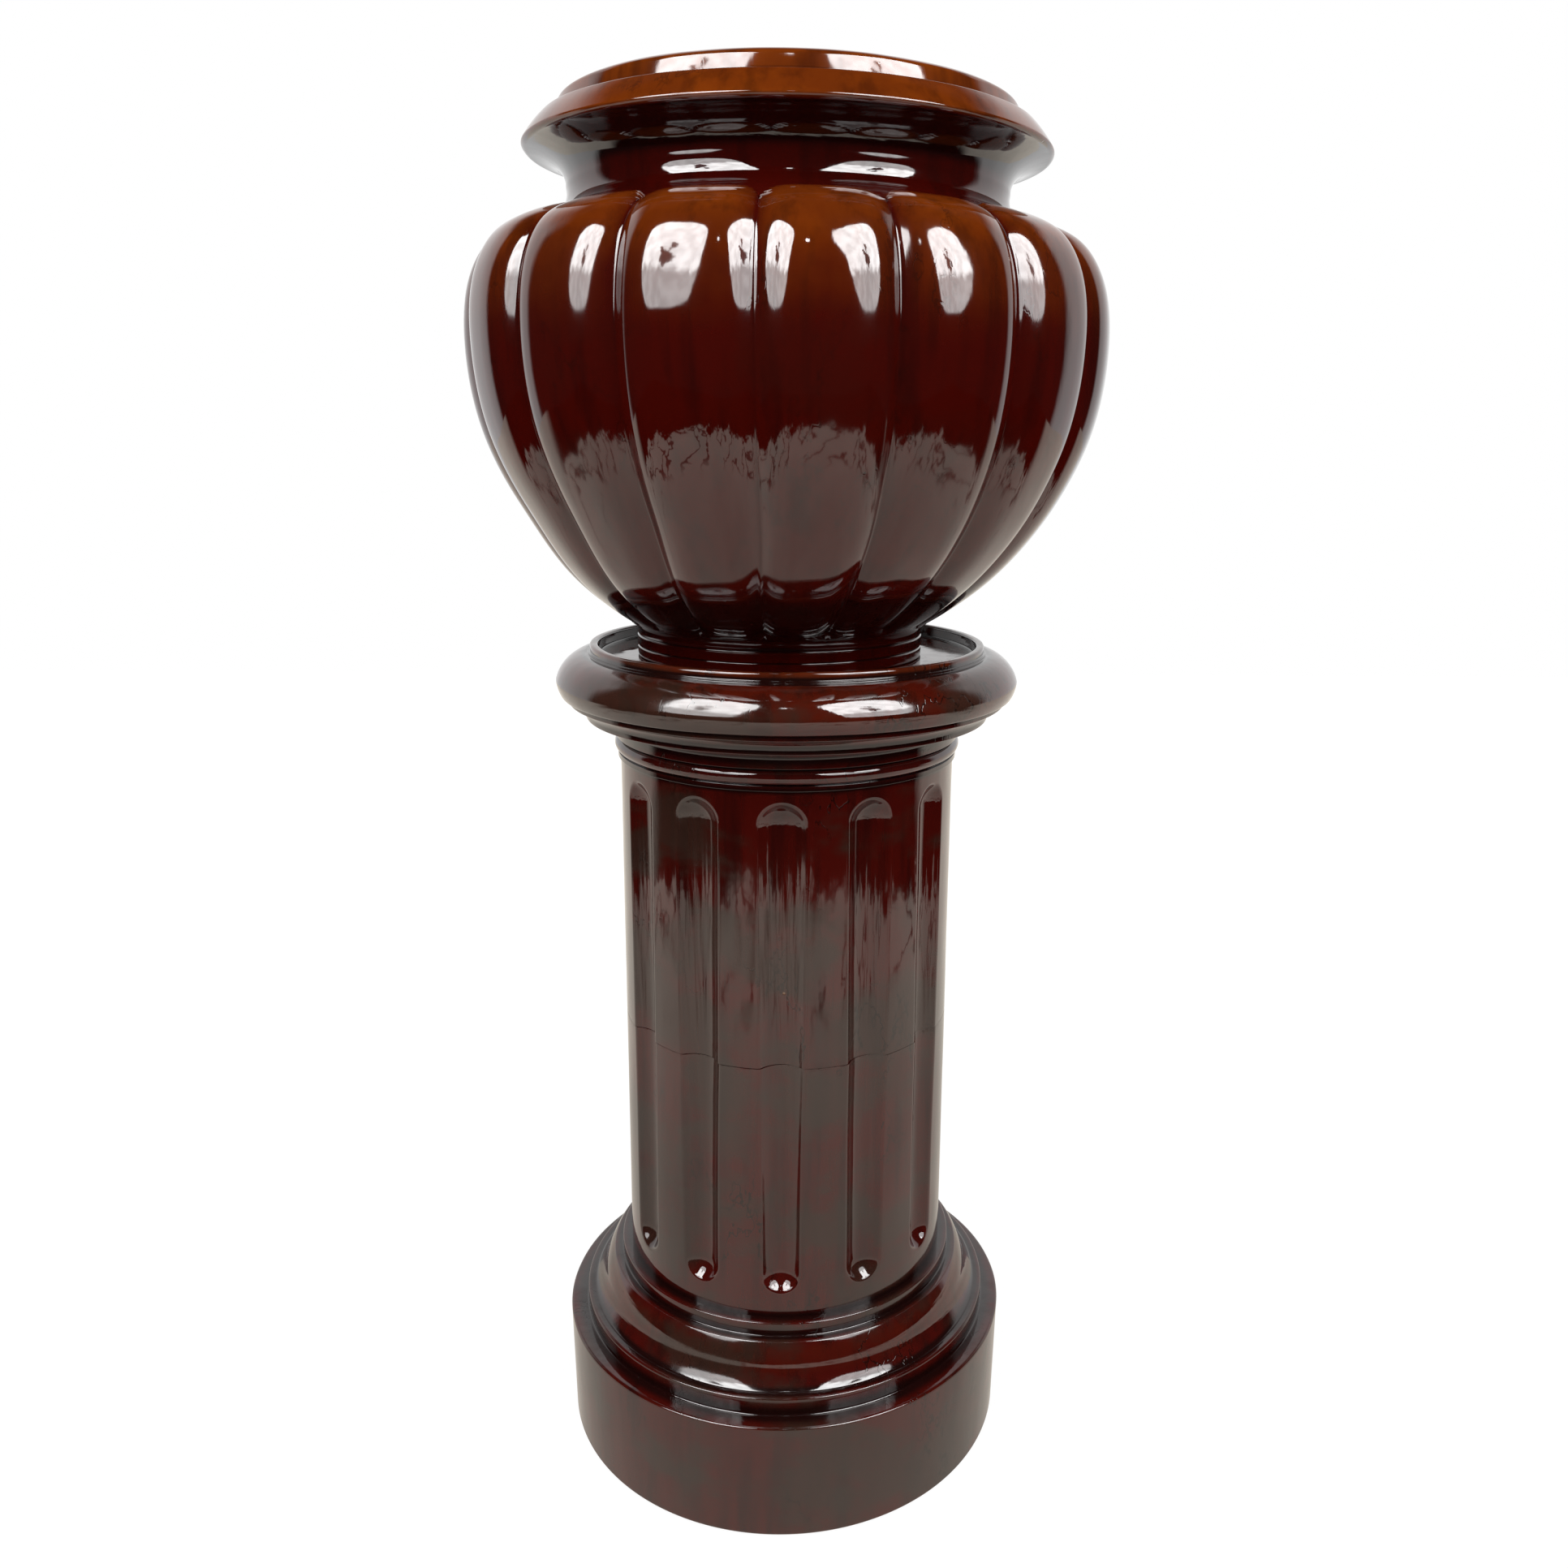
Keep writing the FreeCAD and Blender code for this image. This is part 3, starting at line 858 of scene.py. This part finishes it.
# colours are the glaze where it lies thick, runs thinner, gathers and smears; the thinner colour also
# paints light from above on the bowl's lobe tops and the gathered colour also paints shade; the rest are
# amounts, but for the bump's depth in metres
glazes = {
    "stand": {
        "Thick": (0.064, 0.0042, 0.0026, 1),
        "ThinAndLit": (0.155, 0.026, 0.0045, 1),
        "PooledAndShade": (0.011, 0.0030, 0.0026, 1),
        "Smear": (0.030, 0.0190, 0.0125, 1),
        "Streaks": 0.6,
        "Smears": 0.7,
        "Veins": 0.7,
        "Ripple": 0.05,
        "Wear": 1.0,
        "ior": 1.64,
        "bump": 0.0008,
    },
    "bowl": {
        "Thick": (0.058, 0.0026, 0.0012, 1),
        "ThinAndLit": (0.205, 0.038, 0.0030, 1),
        "PooledAndShade": (0.010, 0.0018, 0.0016, 1),
        "Smear": (0.040, 0.0040, 0.0020, 1),
        "Streaks": 0.45,
        "Smears": 0.3,
        "Veins": 0.3,
        "Ripple": 0.05,
        "Wear": 0.3,
        "ior": 1.64,
        "bump": 0.0006,
    },
}


def makeGlaze(name, values, group):
    material = bpy.data.materials.new(name)
    material.use_nodes = True
    nodes, links = material.node_tree.nodes, material.node_tree.links
    surface = nodes["Principled BSDF"]
    place = nodes.new("ShaderNodeTexCoord")
    effect = nodes.new("ShaderNodeGroup")
    effect.node_tree = group
    links.new(place.outputs["Object"], effect.inputs["Place"])
    for name, socket in (("hollow", "HollowAndShade"), ("thinAndLit", "ThinnessAndLight")):
        mark = nodes.new("ShaderNodeAttribute")
        mark.attribute_name = name
        links.new(mark.outputs["Fac"], effect.inputs[socket])
    for key in ("Thick", "ThinAndLit", "PooledAndShade", "Smear", "Streaks", "Smears", "Veins", "Ripple", "Wear"):
        effect.inputs[key].default_value = values[key]
    bump = nodes.new("ShaderNodeBump")
    bump.inputs["Strength"].default_value = 1.0
    bump.inputs["Distance"].default_value = values["bump"]
    links.new(effect.outputs["Height"], bump.inputs["Height"])
    links.new(bump.outputs["Normal"], surface.inputs["Normal"])
    links.new(effect.outputs["Colour"], surface.inputs["Base Color"])
    links.new(effect.outputs["Roughness"], surface.inputs["Roughness"])
    surface.inputs["IOR"].default_value = values["ior"]
    return material


# metres, watts, and degrees round from the front and up from the target
studio = {
    "target": (0, -0.1, 0.85),
    "distance": 1.95,
    "windows": [-46, 46],
    "rise": 33,
    "windowSize": (1.42, 2.0),
    "windowGlow": 16.0,
    "windowCorners": 3.4,
    "sillGlow": 6.5,
    "sill": (-0.2, -0.1),
    "bulb": (0, 46),
    "bulbSize": 0.1,
    "lampRise": 46,
    "lampSize": (1.2, 1.6),
    "power": 23.0,
    "fill": 0.32,
    "floor": (-3.0, 3.0, -2.4, 3.5),
    "floorColour": (0.9, 0.895, 0.88, 1),
    "floorEdge": 1.47,
    "floorShine": (1, 0.92, 0.81, 1),
    # how much of the floor's own glow the camera sees: near the ware, where its shadow shows, and far off
    "floorShares": (0.86, 1.0),
    "floorGlow": 1.09,
}


def studioPlace(turn, rise):
    a, e = math.radians(turn), math.radians(rise)
    away = Vector((math.sin(a) * math.cos(e), -math.cos(a) * math.cos(e), math.sin(e)))
    spot = Vector(studio["target"]) + away * studio["distance"]
    return Matrix.Translation(spot) @ away.to_track_quat("Z", "Y").to_matrix().to_4x4()


# a glowing window that only shows in the glaze, and lights nothing
def addCard(name, turn, rise, width, height, glow, sillGlow):
    deselectAll()
    bpy.ops.mesh.primitive_plane_add(size=1)
    card = bpy.context.object
    card.name = name
    card.matrix_world = studioPlace(turn, rise) @ Matrix.Diagonal((width, height, 1, 1))
    material = bpy.data.materials.new(name)
    material.use_nodes = True
    nodes, links = material.node_tree.nodes, material.node_tree.links
    nodes.remove(nodes["Principled BSDF"])

    def calc(operation, a, b=0.0):
        return addMath(nodes, links, operation, a, b)

    def ranged(value, low, high, outLow=0.0, outHigh=1.0):
        return addRange(nodes, links, value, low, high, outLow, outHigh)

    def fromMiddle(value):
        return calc("POWER", calc("ABSOLUTE", calc("MULTIPLY", value, 2)), studio["windowCorners"])

    # round corners, an uneven sill below, and over it a plant and a cloudy sky
    place = nodes.new("ShaderNodeTexCoord").outputs["Object"]
    x, y = addSplit(nodes, links, place)[:2]
    shape = ranged(calc("ADD", fromMiddle(x), fromMiddle(y)), 1.0, 0.8)
    cloud = addCloud(nodes, links, place, 7, 5)
    uneven = calc("ADD", y, calc("MULTIPLY", calc("SUBTRACT", cloud, 0.5), 0.3))
    sill = ranged(uneven, *studio["sill"])
    strength = calc("ADD", sillGlow, calc("MULTIPLY", sill, glow - sillGlow))
    if sillGlow < glow:
        wide = calc("POWER", calc("MULTIPLY", x, 5.5), 2)
        tall = calc("POWER", calc("MULTIPLY", y, 3.0), 2)
        leaves = calc("SUBTRACT", calc("MULTIPLY", cloud, 1.6), calc("ADD", wide, tall))
        strength = calc("MULTIPLY", strength, ranged(leaves, 0.62, 0.7, 1.0, 0.03))
        strength = calc("MULTIPLY", strength, ranged(cloud, 0.35, 0.65, 0.75, 1.0))
    strength = calc("MULTIPLY", strength, shape)
    light = nodes.new("ShaderNodeEmission")
    links.new(strength, light.inputs["Strength"])
    clear = nodes.new("ShaderNodeBsdfTransparent")
    mix = nodes.new("ShaderNodeMixShader")
    links.new(shape, mix.inputs[0])
    links.new(clear.outputs[0], mix.inputs[1])
    links.new(light.outputs[0], mix.inputs[2])
    links.new(mix.outputs[0], nodes["Material Output"].inputs["Surface"])
    card.data.materials.append(material)
    for ray in ("camera", "diffuse", "shadow", "transmission", "volume_scatter"):
        setattr(card, "visible_" + ray, False)


def lightStudio():
    s = studio
    for number, turn in enumerate(s["windows"]):
        lamp = bpy.data.lights.new("window%d" % number, "AREA")
        lamp.shape = "RECTANGLE"
        lamp.size, lamp.size_y = s["lampSize"]
        lamp.energy = s["power"]
        holder = bpy.data.objects.new("window%d" % number, lamp)
        bpy.context.scene.collection.objects.link(holder)
        holder.matrix_world = studioPlace(turn, s["lampRise"])
        holder.visible_glossy = False
        addCard("windowCard%d" % number, turn, s["rise"], *s["windowSize"], s["windowGlow"], s["sillGlow"])
    addCard("bulbCard", *s["bulb"], s["bulbSize"], s["bulbSize"], s["windowGlow"], s["windowGlow"])


def layFloor():
    x0, x1, y0, y1 = studio["floor"]
    deselectAll()
    bpy.ops.mesh.primitive_grid_add(
        x_subdivisions=2, y_subdivisions=2, size=1, location=((x0 + x1) / 2, (y0 + y1) / 2, 0)
    )
    floor = bpy.context.object
    floor.name = "floor"
    floor.scale = (x1 - x0, y1 - y0, 1)
    bpy.ops.object.transform_apply(location=True, rotation=False, scale=True)
    material = bpy.data.materials.new("paleFloor")
    material.use_nodes = True
    nodes, links = material.node_tree.nodes, material.node_tree.links
    surface = nodes["Principled BSDF"]
    surface.inputs["Base Color"].default_value = studio["floorColour"]
    surface.inputs["Roughness"].default_value = 0.8

    def calc(operation, a, b=0.0):
        return addMath(nodes, links, operation, a, b)

    def ranged(value, low, high, outLow=0.0, outHigh=1.0):
        return addRange(nodes, links, value, low, high, outLow, outHigh)

    # in the glaze the pale floor ends raggedly about 1.5 m out in front, with bare twigs along its edge
    place = nodes.new("ShaderNodeTexCoord").outputs["Object"]
    far = nodes.new("ShaderNodeVectorMath")
    far.operation = "LENGTH"
    links.new(place, far.inputs[0])
    reach = far.outputs["Value"]
    ragged = calc("MULTIPLY", calc("SUBTRACT", addCloud(nodes, links, place, 3.2, 6, 0.62), 0.5), 1.3)
    lit = ranged(calc("ADD", calc("SUBTRACT", studio["floorEdge"], reach), ragged), -0.03, 0.05)
    line = calc("ABSOLUTE", calc("SUBTRACT", addCloud(nodes, links, place, 2.3, 3), 0.5))
    twig = calc("MULTIPLY", ranged(line, 0.019, 0.009), ranged(reach, 0.85, 1.05))
    lit = calc("MULTIPLY", lit, calc("SUBTRACT", 1.0, calc("MULTIPLY", twig, 0.85)))
    lit = calc("MAXIMUM", lit, ranged(addSplit(nodes, links, place)["Y"], 0.1, 0.5))
    # in the glaze the floor is darker near the ware: a painted shadow of the ware
    shade = calc("MULTIPLY", lit, ranged(reach, 0.2, 1.3, 0.68, 1.05))
    shade = calc("ADD", shade, calc("MULTIPLY", ragged, calc("MULTIPLY", lit, 0.25)))
    # the camera sees it white, and the glaze sees it in its own shades
    path = nodes.new("ShaderNodeLightPath").outputs
    direct = path["Is Camera Ray"]
    shine = path["Is Glossy Ray"]
    seen = calc("MULTIPLY", direct, ranged(reach, 0.35, 1.0, *studio["floorShares"]))
    glow = nodes.new("ShaderNodeEmission")
    tint = nodes.new("ShaderNodeMix")
    tint.data_type = "RGBA"
    tint.inputs[6].default_value = studio["floorShine"]
    tint.inputs[7].default_value = (1, 1, 1, 1)
    links.new(direct, tint.inputs["Factor"])
    links.new(tint.outputs[2], glow.inputs["Color"])
    white = calc("MULTIPLY", direct, studio["floorGlow"])
    links.new(calc("MAXIMUM", white, calc("MULTIPLY", shine, shade)), glow.inputs["Strength"])
    mix = nodes.new("ShaderNodeMixShader")
    links.new(calc("MAXIMUM", seen, shine), mix.inputs[0])
    links.new(surface.outputs[0], mix.inputs[1])
    links.new(glow.outputs[0], mix.inputs[2])
    links.new(mix.outputs[0], nodes["Material Output"].inputs["Surface"])
    floor.data.materials.append(material)


# white all round for the camera; the glaze sees white only behind the object and below the ceiling line
def paintWorld():
    world = bpy.data.worlds.new("studio")
    bpy.context.scene.world = world
    world.use_nodes = True
    nodes, links = world.node_tree.nodes, world.node_tree.links
    back = nodes["Background"]
    back.inputs["Color"].default_value = (1, 1, 1, 1)
    path = nodes.new("ShaderNodeLightPath").outputs
    toward = addSplit(nodes, links, nodes.new("ShaderNodeTexCoord").outputs["Generated"])

    def calc(operation, a, b):
        return addMath(nodes, links, operation, a, b)

    behind = addRange(nodes, links, toward["Y"], 0.25, 0.4, 0.012, 1.0)
    low = addRange(nodes, links, toward["Z"], 0.55, 0.75, 1.0, 0.02)
    shine = calc("MULTIPLY", calc("MULTIPLY", behind, low), path["Is Glossy Ray"])
    strength = calc("MAXIMUM", calc("MAXIMUM", shine, path["Is Camera Ray"]), path["Is Transmission Ray"])
    fill = calc("MULTIPLY", path["Is Diffuse Ray"], studio["fill"])
    links.new(calc("MAXIMUM", strength, fill), back.inputs["Strength"])


# place in metres, turns in radians, focal length and the frame's centre in pixels of the photograph
camera = {
    "place": (0, -1.0, 0.79043),
    "pitch": 0.21928,
    "yaw": 0.03599,
    "roll": 0.01141,
    "focal": 1627.33,
    "centre": (1027.53, 904.78),
    "frame": 1932,
}


def setCamera():
    c = camera
    level = math.cos(c["pitch"])
    ahead = Vector((math.sin(c["yaw"]) * level, math.cos(c["yaw"]) * level, -math.sin(c["pitch"])))
    right = Vector((math.cos(c["yaw"]), -math.sin(c["yaw"]), 0))
    up = right.cross(ahead)
    x = math.cos(c["roll"]) * right + math.sin(c["roll"]) * up
    y = -math.sin(c["roll"]) * right + math.cos(c["roll"]) * up
    holder = bpy.data.objects.new("camera", bpy.data.cameras.new("camera"))
    bpy.context.scene.collection.objects.link(holder)
    turn = Matrix((x, y, -ahead)).transposed().to_4x4()
    holder.matrix_world = Matrix.Translation(c["place"]) @ turn
    lens = holder.data
    lens.sensor_fit = "HORIZONTAL"
    lens.sensor_width = 36
    lens.lens = 36 * c["focal"] / c["frame"]
    lens.shift_x = 0.5 - c["centre"][0] / c["frame"]
    lens.shift_y = c["centre"][1] / c["frame"] - 0.5
    bpy.context.scene.camera = holder


bpy.context.scene.view_settings.view_transform = "Standard"
setCamera()
lightStudio()
layFloor()
paintWorld()
print("studio ready")
glazeGroup = makeGlazeGroup()
standGlaze = makeGlaze("standGlaze", glazes["stand"], glazeGroup)
bowlGlaze = makeGlaze("bowlGlaze", glazes["bowl"], glazeGroup)
print("glazes mixed")
standLower, standUpper = makeStand()
bowlBody, lobeCrown = makeBowl()
unevenClay(standLower, "stand")
unevenClay(standUpper, "stand")
unevenClay(bowlBody, "bowl")
print("clay left uneven by hand")


# the bowl's thinness, with painted light from above on the lobe tops
def thinAndLitOnThisBowl(radius, height):
    return thinAndLitOnBowl(radius, height, lobeCrown)


finishPiece(standLower, "stand", ["stand_lower"], standGlaze, thinOnStand, standPoolsAndShade)
finishPiece(standUpper, "stand", ["stand_upper"], standGlaze, thinOnStand, standPoolsAndShade)
finishPiece(bowlBody, "bowl", ["bowl"], bowlGlaze, thinAndLitOnThisBowl, bowlPoolsAndShade)
